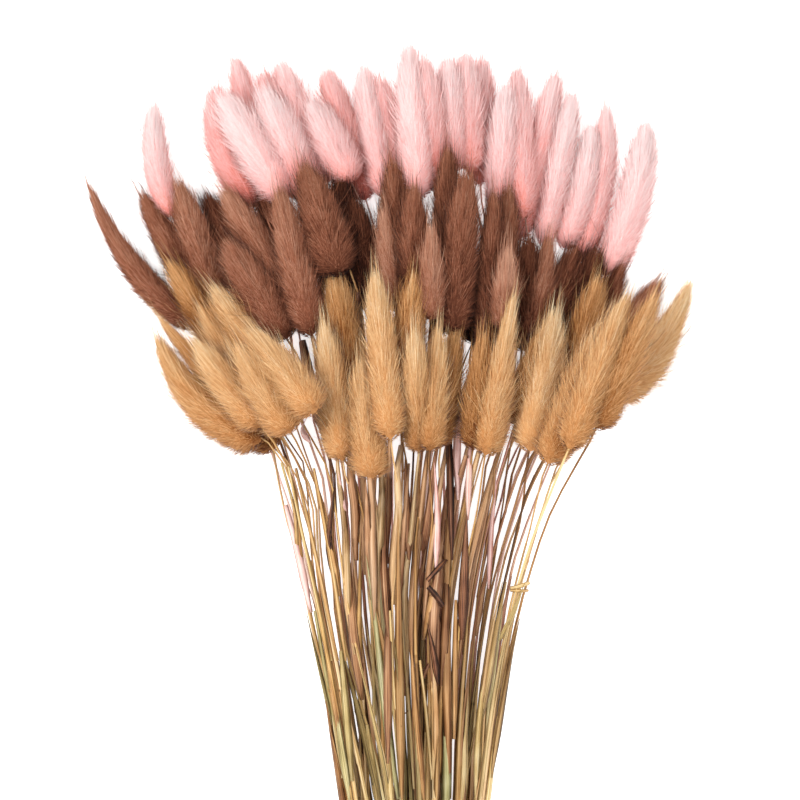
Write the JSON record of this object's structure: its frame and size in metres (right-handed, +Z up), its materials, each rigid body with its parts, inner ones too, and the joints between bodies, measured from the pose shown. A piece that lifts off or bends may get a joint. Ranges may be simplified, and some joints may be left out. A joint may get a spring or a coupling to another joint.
{
  "type": "dried bunny tail grass bunch",
  "caption": "Fan-shaped bunch of dried, dyed bunny tail grass, with pink, brown and tan plumes on long straw stems gathered in a twine tie, lying on its back.",
  "frame": {"origin": "on the surface that the bunch lies on, under the middle of its bounding box", "axes": "+Z up from the surface; +Y along the stems, from the cut ends to the plumes; +X across the fan, to the right seen from above with the plumes away from the viewer"},
  "size_m": [0.2316, 0.4144, 0.0505],
  "materials": {
    "pink_plumes": "soft hairs, matte",
    "brown_plumes": "soft hairs, matte",
    "tan_plumes": "soft hairs, matte",
    "pink_straw": "dry straw, matte",
    "brown_straw": "dry straw, matte",
    "tan_straw": "dry straw, matte",
    "twine": "twisted jute, matte"
  },
  "bodies": {
    "root": {"pink_head_01": "pink_plumes", "pink_head_02": "pink_plumes", "pink_head_03": "pink_plumes", "pink_head_04": "pink_plumes", "pink_head_05": "pink_plumes", "pink_head_06": "pink_plumes", "pink_head_07": "pink_plumes", "pink_head_08": "pink_plumes", "pink_head_09": "pink_plumes", "pink_head_10": "pink_plumes", "pink_head_11": "pink_plumes", "pink_head_12": "pink_plumes", "pink_head_13": "pink_plumes", "pink_head_14": "pink_plumes", "pink_head_15": "pink_plumes", "pink_stems": "pink_straw", "brown_head_01": "brown_plumes", "brown_head_02": "brown_plumes", "brown_head_03": "brown_plumes", "brown_head_04": "brown_plumes", "brown_head_05": "brown_plumes", "brown_head_06": "brown_plumes", "brown_head_07": "brown_plumes", "brown_head_08": "brown_plumes", "brown_head_09": "brown_plumes", "brown_head_10": "brown_plumes", "brown_head_11": "brown_plumes", "brown_head_12": "brown_plumes", "brown_head_13": "brown_plumes", "brown_head_14": "brown_plumes", "brown_head_15": "brown_plumes", "brown_head_16": "brown_plumes", "brown_head_17": "brown_plumes", "brown_head_18": "brown_plumes", "brown_head_19": "brown_plumes", "brown_head_20": "brown_plumes", "brown_head_21": "brown_plumes", "brown_head_22": "brown_plumes", "brown_stems": "brown_straw", "tan_head_01": "tan_plumes", "tan_head_02": "tan_plumes", "tan_head_03": "tan_plumes", "tan_head_04": "tan_plumes", "tan_head_05": "tan_plumes", "tan_head_06": "tan_plumes", "tan_head_07": "tan_plumes", "tan_head_08": "tan_plumes", "tan_head_09": "tan_plumes", "tan_head_10": "tan_plumes", "tan_head_11": "tan_plumes", "tan_head_12": "tan_plumes", "tan_head_13": "tan_plumes", "tan_head_14": "tan_plumes", "tan_head_15": "tan_plumes", "tan_head_16": "tan_plumes", "tan_head_17": "tan_plumes", "tan_head_18": "tan_plumes", "tan_head_19": "tan_plumes", "tan_stems": "tan_straw", "twine_tie": "twine"}
  },
  "joints": []
}
